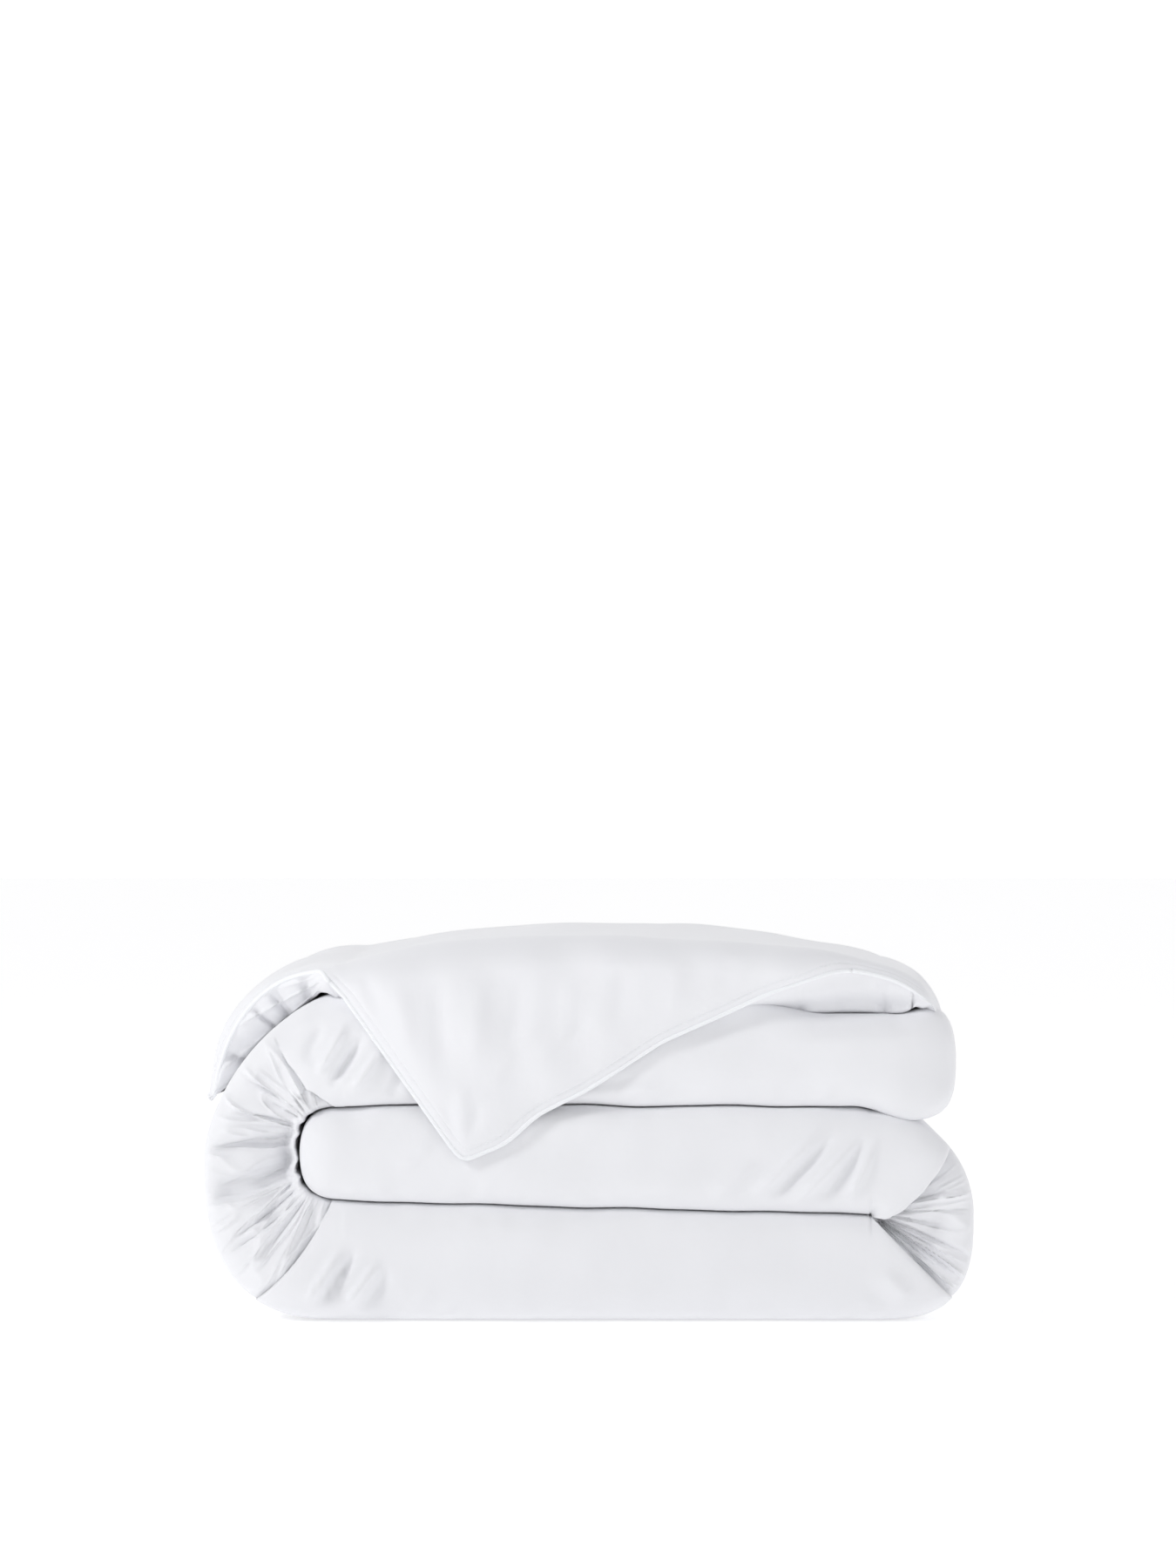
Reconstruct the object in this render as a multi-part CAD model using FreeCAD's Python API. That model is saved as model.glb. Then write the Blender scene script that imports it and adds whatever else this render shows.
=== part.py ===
"""A duvet in its piped cover, folded in four along its width, rolled into a stack of
layers, and finished with one corner of the last layer turned down over the front.

The roll starts with the middle layer, turns right and down into the bottom layer, turns
left and up round the middle layer's end into the upper layer, and turns right and up into
the single top layer, which hangs over the left shoulder.

Frame, in millimetres: +X along the front towards the right end, +Y from front to back,
+Z up. The origin is the middle of the flat underside. Every layer is a section in the XZ
plane, extruded along Y, with its front and back edges rounded.
"""
import FreeCAD, Part
import math
import os

Vector = FreeCAD.Vector
origin = Vector()

# Overall sizes
stack_width = 600.0            # outside of the left turn to outside of the right turn
stack_depth = 550.0            # the 2200 mm width folded in four

# Layers of the roll, each four plies thick
bottom_thickness = 88.0
middle_thickness = 82.0
upper_thickness = 88.0
edge_round = 26.0              # rounding of each layer along the front and the back
left_turn_reach = 109.0        # how far the left turn stands out past the layers
right_turn_reach = 80.0
middle_end_reach = 37.0        # rounded end of the middle layer, inside the left turn
middle_end_start = 10.0        # its rounding starts this far inside the layers' left ends
upper_setback = 14.0           # the upper layer's right end is this far inside the right turn
layer_gap = 1.0                # between curved faces that lie against each other

# Top layer, one ply
top_thickness = 32.0
top_crown = 15.0               # extra height in the middle of the top layer
top_edge_round = 5.0           # rounding of its front and back edges
overhang_drop = 88.0           # how far the top layer hangs down over the left shoulder
overhang_thickness = 13.0
overhang_setback = 130.0       # front edge of the overhang, back from the front face
running_gap = 0.3              # between bodies that move against each other
fold_offset = 4.0              # fold line of the top layer, past the upper layer's end
lift_room = 4.0                # end turn stops this far below that fold line

# Corner turned down over the front
corner_left_x = -203.0         # where the piped left edge crosses the front
corner_right_x = 165.0
corner_tip_x = -99.0
corner_drop = 139.0            # fold line to tip
corner_thickness = 12.0
corner_tip_round = 9.0
corner_fold_below_top = 22.3   # fold line below the top layer's upper face

# Cover, insert, piping and closure
cover_wall = 1.2
insert_gap = 1.5               # slack between the cover and the insert
piping_diameter = 3.2
back_seam_offsets = (3.0, 9.0) # the two side seams, outwards from the layer's middle
stitch_inset = 6.0
stitch_width = 0.8
stitch_height = 0.5
placket_height = 40.0
placket_thickness = 1.6
placket_end_margin = 60.0
insert_end_reach = 20.0        # the insert stops here, clear of the closure
button_diameter = 14.0
button_thickness = 3.0
button_rows = 2
buttons_per_row = 4
button_row_pitch = 20.0
label_width = 30.0
label_length = 45.0
label_thickness = 0.7
label_x = 120.0

# Places that follow from the sizes above
front_y = -stack_depth / 2
back_y = stack_depth / 2
left_x = -stack_width / 2 + left_turn_reach
right_x = stack_width / 2 - right_turn_reach
middle_z = bottom_thickness
upper_z = middle_z + middle_thickness
roll_height = upper_z + upper_thickness
top_z = roll_height + running_gap
top_upper_z = top_z + top_thickness

left_turn_z = roll_height / 2
middle_round_x = left_x + middle_end_start
right_turn_z = upper_z / 2
end_turn_reach = (top_upper_z - upper_z) / 2
end_x = stack_width / 2 - upper_setback - end_turn_reach
end_turn_z = upper_z + end_turn_reach

top_fold_x = end_x + fold_offset
top_fold_z = top_z + top_thickness / 2
corner_fold_z = top_upper_z - corner_fold_below_top
corner_fold_y = front_y - running_gap - corner_thickness / 2
piping_radius = piping_diameter / 2

touch = 1e-3                   # points closer than this are in one place


def rectangle(x0, z0, x1, z1):
    corners = [Vector(x0, 0, z0), Vector(x1, 0, z0), Vector(x1, 0, z1), Vector(x0, 0, z1)]
    return Part.Face(Part.makePolygon(corners + corners[:1]))


def stand_up(curve, x, z, tall):
    """Turn a curve from the XY plane into the XZ plane; a tall one's long axis is upright."""
    if tall:
        curve.rotate(origin, Vector(0, 0, 1), 90)
    curve.rotate(origin, Vector(1, 0, 0), 90)
    curve.translate(Vector(x, 0, z))
    return curve


def ellipse(x, z, reach, rise):
    """An upright elliptical face; its curve starts at the end of the longer half-axis."""
    curve = Part.Ellipse(origin, max(reach, rise), min(reach, rise)).toShape()
    return Part.Face(Part.Wire(stand_up(curve, x, z, rise > reach)))


def left_half_arc(x, z, reach, rise):
    """The left half of such an ellipse, as an edge."""
    tall = rise > reach
    first = 0 if tall else math.pi / 2
    curve = Part.Ellipse(origin, max(reach, rise), min(reach, rise))
    half = Part.ArcOfEllipse(curve, first, first + math.pi).toShape()
    return stand_up(half, x, z, tall)


def half_ellipse(x, z, reach, rise, side):
    """The half of an ellipse to the left (side -1) or right (side 1) of its centre."""
    far = x + side * (reach + rise)
    half = rectangle(min(x, far), z - 2 * rise, max(x, far), z + 2 * rise)
    return ellipse(x, z, reach, rise).common(half)


def ellipse_arc(x, z, reach, rise, first, last):
    """Points of an elliptical arc in the XZ plane, as one smooth edge; angles from +X."""
    steps = 12
    points = []
    for i in range(steps + 1):
        angle = math.radians(first + (last - first) * i / steps)
        points.append(Vector(x + reach * math.cos(angle), 0, z + rise * math.sin(angle)))
    turn = 1 if last > first else -1
    tangents = []
    for angle in (math.radians(first), math.radians(last)):
        tangents.append(Vector(-reach * math.sin(angle), 0, rise * math.cos(angle)) * turn)
    curve = Part.BSplineCurve()
    curve.interpolate(Points=points, InitialTangent=tangents[0], FinalTangent=tangents[1])
    return curve.toShape()


def extrude(section, y0, y1):
    solid = section.Faces[0].extrude(Vector(0, y1 - y0, 0))
    solid.translate(Vector(0, y0, 0))
    return solid


def layer(section, inset, joined_x, radius=edge_round, hem_z=None):
    """Extrude a section over the stack's depth and round its front and back edges.

    Edges in the planes of joined_x, where the cloth runs on into the next layer, stay
    sharp, and so does a hem at the height hem_z.
    """
    y0, y1 = front_y + inset, back_y - inset
    solid = extrude(section, y0, y1)
    picked = []
    for edge in solid.Edges:
        ends = [vertex.Point for vertex in edge.Vertexes]
        in_face = any(all(abs(p.y - y) < touch for p in ends) for y in (y0, y1))
        in_joint = straight(edge) and any(all(abs(p.x - x) < touch for p in ends) for x in joined_x)
        in_hem = hem_z is not None and all(abs(p.z - hem_z) < touch for p in ends)
        if in_face and not in_joint and not in_hem:
            picked.append(edge)
    return solid.makeFillet(radius - inset, picked)


def straight(edge):
    """Whether an edge runs straight from end to end."""
    ends = [vertex.Point for vertex in edge.Vertexes]
    return edge.Length - (ends[-1] - ends[0]).Length < touch


def bottom_layer(inset):
    section = rectangle(left_x, inset, right_x, bottom_thickness - inset)
    return layer(section, inset, (left_x, right_x))


def right_turn(inset):
    rise = right_turn_z - inset
    section = half_ellipse(right_x, right_turn_z, right_turn_reach - inset, rise, 1)
    return layer(section, inset, (right_x,))


def middle_layer(inset):
    """The first layer rolled, with a rounded end inside the left turn."""
    half = middle_thickness / 2 - inset
    z = middle_z + middle_thickness / 2
    end = left_half_arc(middle_round_x, z, middle_end_reach + middle_end_start - inset, half)
    sides = [
        line(middle_round_x, z - half, right_x, z - half),
        line(right_x, z - half, right_x, z + half),
        line(right_x, z + half, middle_round_x, z + half),
    ]
    return layer(Part.Face(Part.Wire(Part.__sortEdges__(sides + [end]))), inset, (right_x,))


def left_turn(inset):
    outer = half_ellipse(left_x, left_turn_z, left_turn_reach - inset, left_turn_z - inset, -1)
    z = middle_z + middle_thickness / 2
    hollow = ellipse(left_x, z, middle_end_reach + layer_gap + inset, middle_thickness / 2 + inset)
    return layer(outer.cut(hollow), inset, (left_x,), min(edge_round, left_turn_half() - layer_gap))


def left_turn_half():
    """Half the thickness of the left turn where it is thinnest, at its far left."""
    return (left_turn_reach - middle_end_reach - layer_gap) / 2


def upper_layer(inset):
    section = rectangle(left_x, upper_z + inset, end_x, roll_height - inset)
    return layer(section, inset, (left_x, end_x))


def end_turn(inset):
    """The right-hand bend from the upper layer to the top layer, up to the fold line.

    It leaves room for the top layer's rounded end, which turns about that line.
    """
    reach = end_turn_reach - inset
    solid = layer(half_ellipse(end_x, end_turn_z, reach, reach, 1), inset, (end_x,))
    room = top_thickness / 2 + layer_gap + inset
    room = extrude(ellipse(top_fold_x, top_fold_z, room, room), front_y, back_y)
    low = top_fold_z - lift_room - inset
    above = extrude(rectangle(end_x, low, end_x + 2 * reach, 2 * top_upper_z), front_y, back_y)
    return solid.cut(room).cut(above)


def top_crown_curve(high):
    """The crowned upper line, level at the rounded right end and at the left shoulder."""
    length = top_fold_x - left_x
    rise = 1.6 * top_crown           # the curve reaches 1 / 1.6 of its two raised poles
    curve = Part.BezierCurve()
    curve.setPoles([
        Vector(top_fold_x - share * length, 0, high + up)
        for share, up in ((0, 0), (0.1, 0), (0.25, rise), (0.75, rise), (0.9, 0), (1, 0))
    ])
    return curve.toShape()


def top_section(inset):
    """The top layer: a nose about the fold line, a crown, and the overhang on the left."""
    end = top_thickness / 2 - inset
    low, high = top_z + inset, top_upper_z - inset
    hem = roll_height - overhang_drop + inset
    inner_out = inset / overhang_thickness
    inner_rise = inset / top_thickness
    outer = oval_arc(1 - inner_out, 1 - inner_rise, 90, hem)
    inner = oval_arc(inner_out, inner_rise, 90, hem)
    nose = Part.Arc(
        Vector(top_fold_x, 0, low),
        Vector(top_fold_x + end, 0, top_fold_z),
        Vector(top_fold_x, 0, high),
    )
    edges = [
        Part.LineSegment(Vector(left_x, 0, low), Vector(top_fold_x, 0, low)).toShape(),
        nose.toShape(),
        top_crown_curve(high),
        outer,
        Part.LineSegment(outer.Vertexes[-1].Point, inner.Vertexes[-1].Point).toShape(),
        inner,
    ]
    return Part.Face(Part.Wire(Part.__sortEdges__(edges)))


def oval_arc(out, rise_out, first, hem):
    """Arc round the shoulder down to the hem, out and rise_out from 0 inside to 1 outside."""
    reach = left_turn_reach + running_gap + out * overhang_thickness
    rise = roll_height - left_turn_z + running_gap + rise_out * top_thickness
    last = 180 - math.degrees(math.asin((hem - left_turn_z) / rise))
    return ellipse_arc(left_x, left_turn_z, reach, rise, first, last)


def overhang_corner(inset):
    """What is cut from the top layer in front of its oblique piped edge."""
    slope = overhang_slope()
    start_y = front_y + inset * math.hypot(1, slope)
    near, far = corner_left_x + stack_width, corner_left_x - stack_width
    corners = [
        Vector(near, start_y - stack_width * slope, 0),
        Vector(far, start_y + stack_width * slope, 0),
        Vector(far, start_y - stack_width * slope, 0),
    ]
    face = Part.Face(Part.makePolygon(corners + corners[:1]))
    return face.extrude(Vector(0, 0, 2 * top_upper_z))


def overhang_slope():
    """How fast the oblique edge runs back as it goes left."""
    return overhang_setback / (stack_width / 2 + corner_left_x)


def top_layer(inset):
    hem_z = roll_height - overhang_drop + inset
    solid = layer(top_section(inset), inset, (), top_edge_round, hem_z)
    return solid.cut(overhang_corner(inset))


def corner_outline(inset):
    """The turned-down corner seen from the front: two straight sides and a rounded tip."""
    tip = Vector(corner_tip_x, 0, corner_fold_z - corner_drop)
    left = Vector(corner_left_x, 0, corner_fold_z)
    right = Vector(corner_right_x, 0, corner_fold_z)
    to_left, to_right = (left - tip).normalize(), (right - tip).normalize()
    half_angle = to_left.getAngle(to_right) / 2
    inward = (to_left + to_right).normalize()
    apex = tip + inward * (inset / math.sin(half_angle))
    radius = max(corner_tip_round - inset, 1.0)
    reach = radius / math.tan(half_angle)
    start, end = apex + to_left * reach, apex + to_right * reach
    middle = apex + inward * (radius / math.sin(half_angle) - radius)
    top_left = apex + to_left * ((corner_fold_z - apex.z) / to_left.z)
    top_right = apex + to_right * ((corner_fold_z - apex.z) / to_right.z)
    return top_left, start, middle, end, top_right


def corner_path(inset):
    """The outline from the left end of the fold line, round the tip, to its right end."""
    top_left, start, middle, end, top_right = corner_outline(inset)
    return [
        Part.LineSegment(top_left, start).toShape(),
        Part.Arc(start, middle, end).toShape(),
        Part.LineSegment(end, top_right).toShape(),
    ]


def corner_flap(inset):
    """The flat corner, hanging from a rounded upper edge that lies on the fold line."""
    top_left, _, _, _, top_right = corner_outline(inset)
    half = corner_thickness / 2 - inset
    face = Part.Face(Part.Wire(corner_path(inset) + [Part.LineSegment(top_right, top_left).toShape()]))
    plate = extrude(face, corner_fold_y - half, corner_fold_y + half)
    start = Vector(top_left.x, corner_fold_y, corner_fold_z)
    length = top_right.x - top_left.x
    roll = Part.makeCylinder(half, length, start, Vector(1, 0, 0))
    above = Part.makeBox(length, 2 * half, half, start - Vector(0, half, 0))
    return plate.fuse(roll.common(above)).removeSplitter()


def cover(make):
    """A cover segment: the layer's skin, open where the cloth runs on."""
    return make(0).cut(make(cover_wall))


def sweep(edges, radius):
    """A round cord along a smooth path."""
    path = Part.Wire(edges)
    start = path.Edges[0]
    first = start.FirstParameter if start.Orientation == "Forward" else start.LastParameter
    circle = Part.Circle(start.valueAt(first), start.tangentAt(first), radius)
    return path.makePipeShell([Part.Wire(circle.toShape())], True, True)


def arc(centre, radius, first, last):
    """A circular arc in the XZ plane; angles in degrees from +X."""
    points = []
    for angle in (first, (first + last) / 2, last):
        turn = math.radians(angle)
        points.append(centre + Vector(radius * math.cos(turn), 0, radius * math.sin(turn)))
    return Part.Arc(*points).toShape()


def line(x0, z0, x1, z1):
    return Part.LineSegment(Vector(x0, 0, z0), Vector(x1, 0, z1)).toShape()


def back_piping(offset):
    """One side seam's piping, along the middle of the roll's back face."""
    z_bottom = bottom_thickness / 2 - offset
    z_middle = middle_z + middle_thickness / 2 + offset
    z_upper = upper_z + upper_thickness / 2 + offset
    radius = (z_middle - z_bottom) / 2
    reach = (left_turn_reach + middle_end_reach) / 2 + offset
    far_x = left_x - reach
    cord = sweep([
        line(left_x, z_middle, right_x, z_middle),
        arc(Vector(right_x, 0, z_middle - radius), radius, 90, -90),
        line(right_x, z_bottom, left_x, z_bottom),
        arc(Vector(left_x, 0, z_bottom + reach), reach, 270, 180),
        line(far_x, z_bottom + reach, far_x, z_upper - reach),
        arc(Vector(left_x, 0, z_upper - reach), reach, 180, 90),
        line(left_x, z_upper, end_x, z_upper),
    ], piping_radius)
    cord.translate(Vector(0, back_y + piping_radius, 0))
    return cord


def overhang_middle():
    """Half-axes of the line midway through the overhang's thickness."""
    reach = left_turn_reach + running_gap + overhang_thickness / 2
    return reach, roll_height - left_turn_z + running_gap + top_thickness / 2


def overhang_end_angle():
    """Angle from +X at which that line comes down to the hem."""
    rise = overhang_middle()[1]
    return 180 - math.degrees(math.asin((roll_height - overhang_drop - left_turn_z) / rise))


def top_back_piping():
    """Piping along the top layer's back edge and down the overhang to the hem."""
    reach = overhang_middle()[0]
    centre = Vector(left_x, 0, top_fold_z - reach)
    hem = math.degrees(math.asin((roll_height - overhang_drop - centre.z) / reach))
    cord = sweep([
        line(top_fold_x, top_fold_z, left_x, top_fold_z),
        arc(centre, reach, 90, 180 - hem),
    ], piping_radius)
    cord.translate(Vector(0, back_y + piping_radius, 0))
    return cord


def overhang_path_point(angle, out):
    """A point on the top layer's oblique edge, out millimetres in front of the cut."""
    reach, rise = overhang_middle()
    slope = overhang_slope()
    x = left_x + reach * math.cos(angle)
    y = front_y + (corner_left_x - x) * slope
    normal = Vector(-slope, -1, 0).normalize() * out
    return Vector(x, y, left_turn_z + rise * math.sin(angle)) + normal


def overhang_front_piping():
    """Piping on the oblique edge, from the front face over the shoulder to the hem."""
    first = math.acos((corner_left_x - left_x) / overhang_middle()[0])
    last = math.radians(overhang_end_angle())
    angles = first, (first + last) / 2, last
    path = Part.Arc(*[overhang_path_point(angle, piping_radius) for angle in angles])
    return sweep([path.toShape()], piping_radius)


def overhang_low_piping():
    """Piping along the overhang's lower edge, from the oblique edge to the back."""
    start = overhang_path_point(math.radians(overhang_end_angle()), 0)
    start.z = roll_height - overhang_drop - piping_radius
    return Part.makeCylinder(piping_radius, back_y - start.y, start, Vector(0, 1, 0))


def top_front_piping():
    """Piping on the top layer's front edge, from the turned-down corner to the end turn."""
    start = Vector(corner_right_x, front_y - piping_radius, top_fold_z)
    return Part.makeCylinder(piping_radius, top_fold_x - corner_right_x, start, Vector(1, 0, 0))


def corner_piping():
    cord = sweep(corner_path(-piping_radius), piping_radius)
    cord.translate(Vector(0, corner_fold_y, 0))
    return cord


def corner_topstitch():
    """The line of stitching beside the piping, standing on the corner's front face."""
    outer, inner = corner_path(stitch_inset), corner_path(stitch_inset + stitch_width)
    ends = [
        Part.LineSegment(outer[-1].Vertexes[-1].Point, inner[-1].Vertexes[-1].Point).toShape(),
        Part.LineSegment(inner[0].Vertexes[0].Point, outer[0].Vertexes[0].Point).toShape(),
    ]
    face = Part.Face(Part.Wire(Part.__sortEdges__(outer + inner + ends)))
    face_y = corner_fold_y - corner_thickness / 2
    return extrude(face, face_y - stitch_height, face_y)


def placket_x():
    """Where a band of the placket's height lies against the inside of the rounded end."""
    reach = middle_end_reach + middle_end_start - cover_wall
    rise = middle_thickness / 2 - cover_wall
    return middle_round_x - reach * math.sqrt(1 - (placket_height / 2 / rise) ** 2)


def placket():
    """Overlapping hem that the buttons close, inside the middle layer's rounded end."""
    z = middle_z + middle_thickness / 2
    length = stack_depth - 2 * placket_end_margin
    corner = Vector(placket_x(), -length / 2, z - placket_height / 2)
    return Part.makeBox(placket_thickness, length, placket_height, corner)


def buttons():
    """Button discs on the placket's inner face, in even rows."""
    length = stack_depth - 2 * placket_end_margin
    pitch = length / buttons_per_row
    x = placket_x() + placket_thickness
    discs = []
    for row in range(button_rows):
        z = middle_z + middle_thickness / 2 + (row - (button_rows - 1) / 2) * button_row_pitch
        for i in range(buttons_per_row):
            y = -length / 2 + (i + 0.5) * pitch
            centre = Vector(x, y, z)
            discs.append(
                Part.makeCylinder(button_diameter / 2, button_thickness, centre, Vector(1, 0, 0))
            )
    return Part.makeCompound(discs)


def care_label():
    """Blank woven label, sewn in under the side seam's piping on the back."""
    z = upper_z + upper_thickness / 2 + back_seam_offsets[0] - piping_radius - label_length
    return Part.makeBox(label_width, label_thickness, label_length, Vector(label_x, back_y, z))


def insert_middle_layer(inset):
    """The insert in the middle layer, which stops short of the closure."""
    kept = Part.makeBox(stack_width, stack_depth, roll_height)
    kept.translate(Vector(left_x - insert_end_reach, front_y, 0))
    return middle_layer(inset).common(kept)


insert_inset = cover_wall + insert_gap

nodes = {}
for name, make in {
    "bottom_layer": bottom_layer,
    "right_turn": right_turn,
    "middle_layer": middle_layer,
    "left_turn": left_turn,
    "upper_layer": upper_layer,
    "end_turn": end_turn,
    "top_layer": top_layer,
    "corner_flap": corner_flap,
}.items():
    nodes["cover_" + name] = cover(make)
    fill = insert_middle_layer if make is middle_layer else make
    nodes["insert_" + name] = fill(insert_inset)

nodes["piping_back_seam_inner"] = back_piping(back_seam_offsets[0])
nodes["piping_back_seam_outer"] = back_piping(back_seam_offsets[1])
nodes["piping_top_back"] = top_back_piping()
nodes["piping_top_front"] = top_front_piping()
nodes["piping_overhang_front"] = overhang_front_piping()
nodes["piping_overhang_low"] = overhang_low_piping()
nodes["piping_corner"] = corner_piping()
nodes["topstitch_corner"] = corner_topstitch()
nodes["closure_placket"] = placket()
nodes["closure_buttons"] = buttons()
nodes["care_label"] = care_label()

os.makedirs("parts", exist_ok=True)
for name, shape in nodes.items():
    solids = shape.Solids
    assert solids and all(s.isValid() and s.Volume > 0 for s in solids), name
    out = solids[0] if len(solids) == 1 else Part.makeCompound(solids)
    out.exportStep("parts/%s.step" % name)
    print("%-26s %d solid(s) %12.1f mm3" % (name, len(solids), out.Volume))
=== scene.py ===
import math

import bmesh
import bpy
import numpy as np
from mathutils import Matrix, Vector


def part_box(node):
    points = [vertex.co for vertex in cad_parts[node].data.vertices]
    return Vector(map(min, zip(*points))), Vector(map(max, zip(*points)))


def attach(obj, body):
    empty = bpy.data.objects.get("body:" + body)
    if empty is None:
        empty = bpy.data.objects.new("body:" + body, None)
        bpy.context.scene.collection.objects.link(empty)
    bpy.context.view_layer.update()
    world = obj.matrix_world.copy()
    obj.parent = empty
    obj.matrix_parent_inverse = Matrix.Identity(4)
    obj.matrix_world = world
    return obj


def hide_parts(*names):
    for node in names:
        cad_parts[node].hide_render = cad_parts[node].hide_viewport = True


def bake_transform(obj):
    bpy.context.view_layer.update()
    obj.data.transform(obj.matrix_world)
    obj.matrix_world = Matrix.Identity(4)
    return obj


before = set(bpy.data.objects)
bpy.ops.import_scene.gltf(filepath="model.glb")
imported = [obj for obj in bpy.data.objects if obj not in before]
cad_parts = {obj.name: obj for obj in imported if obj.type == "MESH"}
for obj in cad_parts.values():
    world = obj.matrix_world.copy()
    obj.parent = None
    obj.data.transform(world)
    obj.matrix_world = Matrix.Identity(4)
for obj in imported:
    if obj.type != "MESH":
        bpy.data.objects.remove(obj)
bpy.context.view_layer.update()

# ---------------------------------------------------------------- places from the frame
bottom_low, bottom_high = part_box("cover_bottom_layer")
upper_low, upper_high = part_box("cover_upper_layer")
flap_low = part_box("cover_corner_flap")[0]
right_turn_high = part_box("cover_right_turn")[1]
top_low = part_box("cover_top_layer")[0]
middle_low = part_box("cover_middle_layer")[0]
end_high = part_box("cover_end_turn")[1]

FRONT, BACK = bottom_low.y, bottom_high.y
LEFT_X, RIGHT_X = bottom_low.x, bottom_high.x
PLUMP = 0.0035            # the turns and the end bulge past the plain solids by this much
LEFT_REACH = LEFT_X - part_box("cover_left_turn")[0].x + PLUMP
RIGHT_REACH = right_turn_high.x - RIGHT_X + PLUMP
GAP_LOW, GAP_HIGH, ROOF = bottom_high.z, upper_low.z, upper_high.z
MIDDLE_END = LEFT_X - middle_low.x
UPPER_END, END_TIP = upper_high.x, end_high.x + PLUMP
HEM_Z = top_low.z
CORNER_LEFT_X = flap_low.x
label_low, label_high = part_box("care_label")
label_middle = (label_low + label_high) / 2

# ---------------------------------------------------------------- shape of the soft parts
EDGE_DEPTH = 0.030        # how far the rounding of a layer's front reaches back
EDGE_POWER = 3.0          # 2 is an ellipse, more is flatter in the middle
INNER_EDGE = 0.65         # depth of the rounding at a layer's inner edge, to its outer one
MIDDLE_SQUARED = 0.45     # how much of the rounding the middle layer's upper edge loses
TURN_RECESS = 0.006       # the turns sit this far behind the straight layers' front
FOLD_RADIUS = 0.026       # top layer rolling over the front edge
FOLD_START = FRONT + 0.013
FLAP_THICKNESS = 0.012
FLAP_EDGE_THICKNESS = 0.0035
FLAP_CLEARANCE = 0.0012
PIPING_RADIUS = 0.0018
STITCH_INSET = 0.0062     # stitches, in from the piping
MM = 0.001

rng = np.random.default_rng(7)


def ease(t):
    t = np.clip(t, 0.0, 1.0)
    return t * t * (3 - 2 * t)


class Waves:
    """Smooth seeded noise: a sum of plane waves, for broad unevenness in cloth."""

    def __init__(self, count, low, high):
        angle = rng.uniform(0, 2 * math.pi, count)
        size = np.exp(rng.uniform(math.log(low), math.log(high), count))
        self.kx, self.ky = size * np.cos(angle), size * np.sin(angle)
        self.phase = rng.uniform(0, 2 * math.pi, count)
        self.weight = (low / size) ** 0.8
        self.weight /= np.sqrt((self.weight ** 2).sum() / 2)

    def __call__(self, x, y):
        total = np.zeros(np.broadcast(x, y).shape)
        for kx, ky, phase, weight in zip(self.kx, self.ky, self.phase, self.weight):
            total += weight * np.sin(2 * math.pi * (kx * x + ky * y) + phase)
        return total


front_waves = Waves(14, 5, 26)
back_waves = Waves(14, 5, 30)
Waves(12, 3, 16)          # unused; it keeps the random draws after it as they are
line_waves = Waves(8, 6, 40)
top_waves = Waves(14, 3, 14)
under_waves = Waves(14, 8, 40)
crinkle_waves = Waves(14, 16, 60)
gather_waves = Waves(10, 30, 90)


def crinkle(u, v):
    """Sharp little ridges between flatter hollows, 0 to 1, drawn out along v."""
    return np.clip(1 - np.abs(crinkle_waves(u, v * 0.22)), 0, 1) ** 3


def linked(name, data):
    """A new object in the scene, made of this data."""
    obj = bpy.data.objects.new(name, data)
    bpy.context.scene.collection.objects.link(obj)
    return obj


def run_length(points):
    """Distance along a path, from its first point to each of its points."""
    return np.concatenate([[0], np.cumsum(np.linalg.norm(np.diff(points, axis=0), axis=1))])


def grid_mesh(name, points):
    """A quad mesh over an array of points [u, v, 3], closed along v."""
    nu, nv = points.shape[:2]
    index = np.arange(nu * nv).reshape(nu, nv)
    a, b = index[:-1], index[1:]
    faces = np.stack([a, np.roll(a, -1, 1), np.roll(b, -1, 1), b], axis=-1)
    mesh = bpy.data.meshes.new(name)
    mesh.from_pydata(points.reshape(-1, 3).tolist(), [], faces.reshape(-1, 4).tolist())
    return linked(name, mesh)


def tidy(obj):
    """Merges coincident points, closes the open ends, and turns the faces outwards."""
    bm = bmesh.new()
    bm.from_mesh(obj.data)
    bmesh.ops.remove_doubles(bm, verts=bm.verts, dist=2e-5)
    bmesh.ops.dissolve_degenerate(bm, dist=1e-5, edges=bm.edges)
    holes = [e for e in bm.edges if e.is_boundary]
    if holes:
        bmesh.ops.holes_fill(bm, edges=holes, sides=0)
    bmesh.ops.recalc_face_normals(bm, faces=bm.faces)
    bm.to_mesh(obj.data)
    bm.free()
    for polygon in obj.data.polygons:
        polygon.use_smooth = len(polygon.vertices) <= 4
    return obj


# ---------------------------------------------------------------- the roll
def gap_low(x):
    """Height of the line where the middle layer lies on the bottom layer."""
    return GAP_LOW + 0.0015 - 0.0255 * x + 0.0005 * line_waves(x, 0.1)


def gap_high(x):
    """Height of the line where the upper layer lies on the middle layer."""
    sag = 0.012 * ease((x - 0.205) / 0.05)
    return GAP_HIGH - 0.001 - sag + 0.0005 * line_waves(x, 0.4)


def front_profile(t):
    """0 in the middle of a layer's front, 1 at its outer edge, less at the inner one."""
    full = 1 - (1 - np.abs(2 * t - 1) ** EDGE_POWER) ** (1 / EDGE_POWER)
    return full * np.where(t < 0.5, INNER_EDGE, 1.0)


def superellipse(angle, power_low, power_high):
    """Unit quarter-curves from straight down (angle 0) to straight up (pi)."""
    power = np.where(angle < math.pi / 2, power_low, power_high)
    side = np.abs(np.sin(angle)) ** (2 / power)
    rise = -np.sign(np.cos(angle)) * np.abs(np.cos(angle)) ** (2 / power)
    return side, rise


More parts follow.
